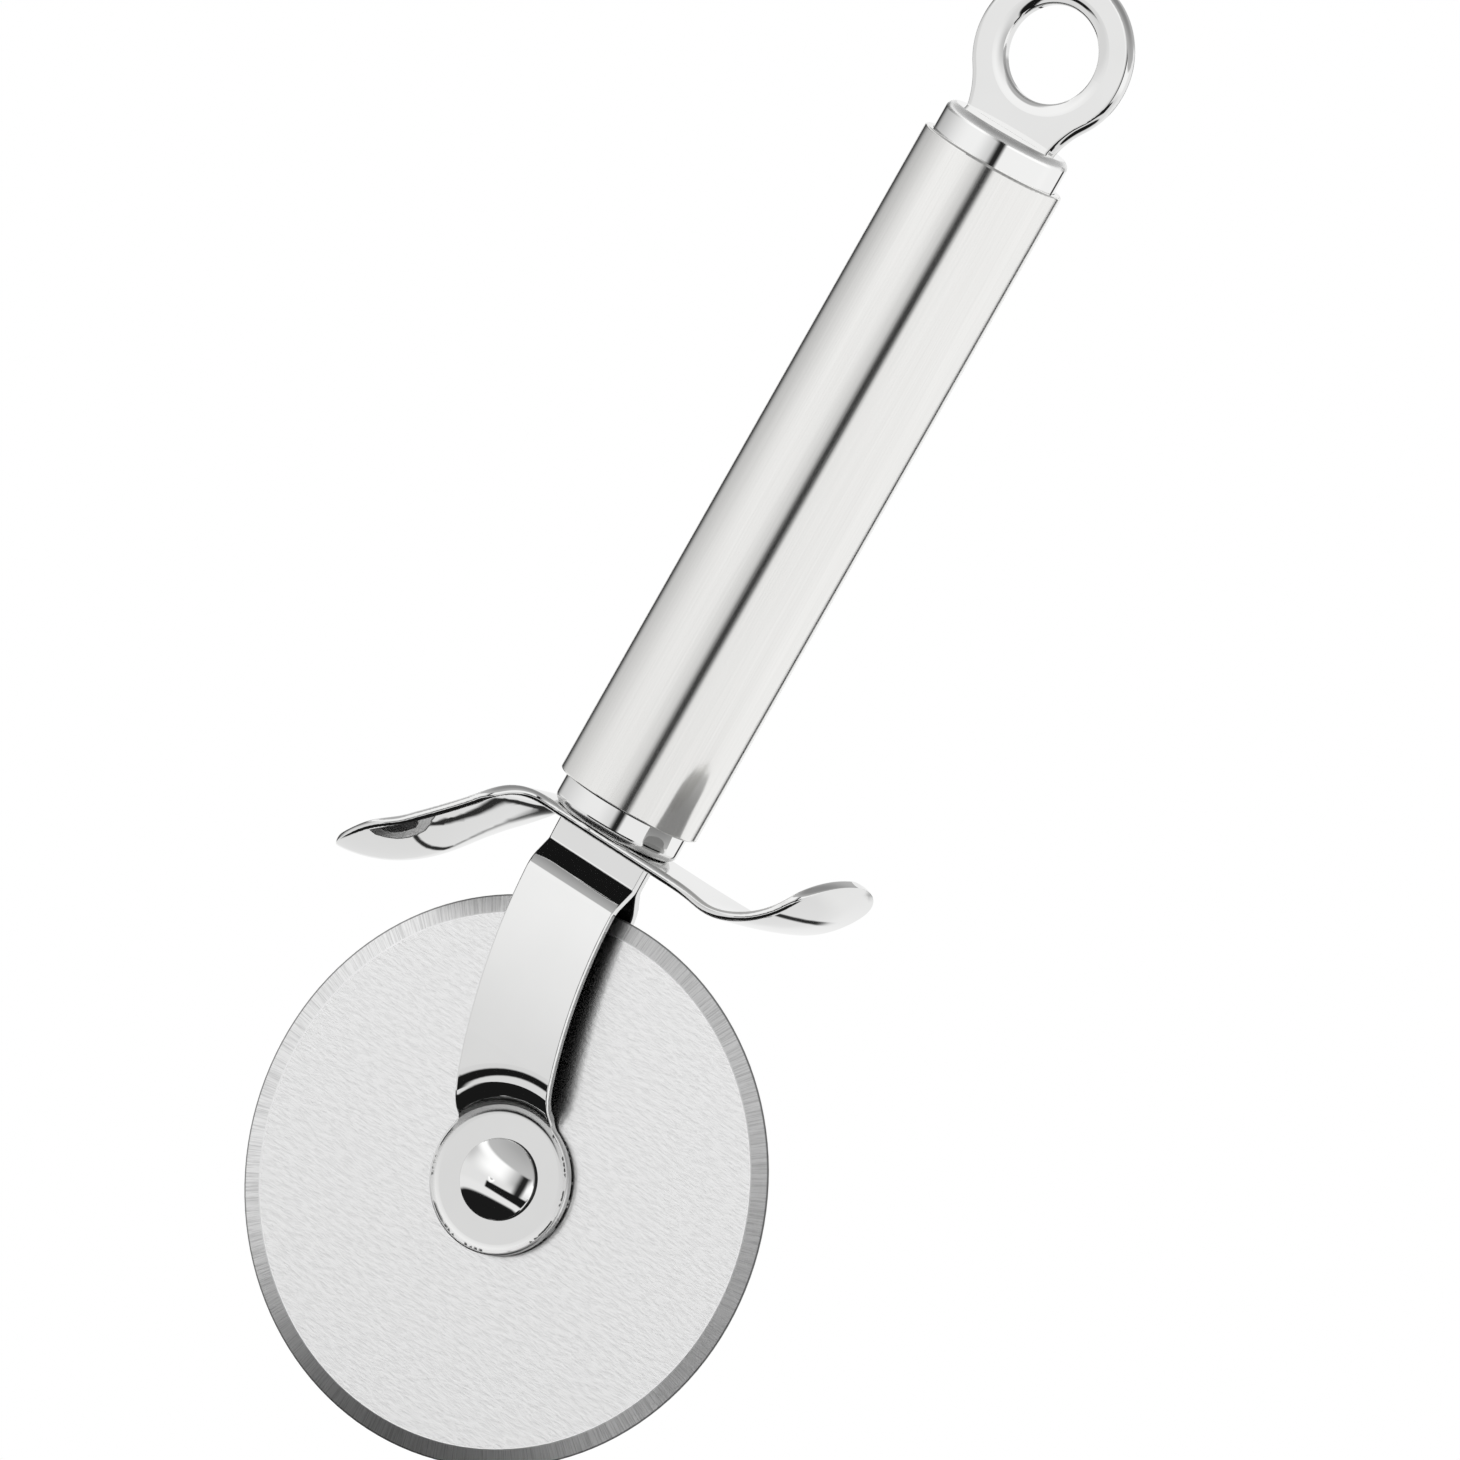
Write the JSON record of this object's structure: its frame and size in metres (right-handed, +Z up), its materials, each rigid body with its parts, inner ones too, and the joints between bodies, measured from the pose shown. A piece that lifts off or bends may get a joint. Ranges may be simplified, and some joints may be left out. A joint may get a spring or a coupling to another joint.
{
  "type": "pizza cutter wheel",
  "caption": "Stainless pizza cutter with a round hollow handle, hanging ring, two-winged finger guard, curved two-arm fork and a free-running disc blade.",
  "frame": {"origin": "centre of the hanging hole in the ring, on the mid-plane of the tool", "axes": "+Z up along the handle to the hanging ring, +X towards the wing of the guard that curls up, +Y along the blade's axle, away from the front of the tool"},
  "size_m": [0.0762, 0.0208, 0.1977],
  "materials": {
    "polished_steel": "mirror-polished stainless steel",
    "satin_steel": "satin, brushed along the tube",
    "blade_steel": "fine-brushed faces with a ground bevel",
    "pin_steel": "turned",
    "seal_rubber": "matte black"
  },
  "bodies": {
    "handle": {"hanging_ring": "polished_steel", "top_end_cap": "polished_steel", "top_seal_ring": "seal_rubber", "ring_tang_pin": "pin_steel", "handle_tube": "satin_steel", "bottom_end_cap": "polished_steel", "bottom_seal_ring": "seal_rubber", "fork_tang_pin": "pin_steel", "finger_guard": "polished_steel", "front_fork_arm": "polished_steel", "rear_fork_arm": "polished_steel", "hub_bush": "pin_steel", "front_thrust_washer": "pin_steel", "rear_thrust_washer": "pin_steel", "front_axle_rivet": "polished_steel", "rear_axle_rivet": "polished_steel"},
    "wheel": {"cutting_wheel": "blade_steel"}
  },
  "joints": [
    {"name": "wheel_spin", "type": "hinge", "parent": "handle", "child": "wheel", "pos_m": [0.0104, 0, -0.1522], "axis": [0, 1, 0], "continuous": true}
  ]
}
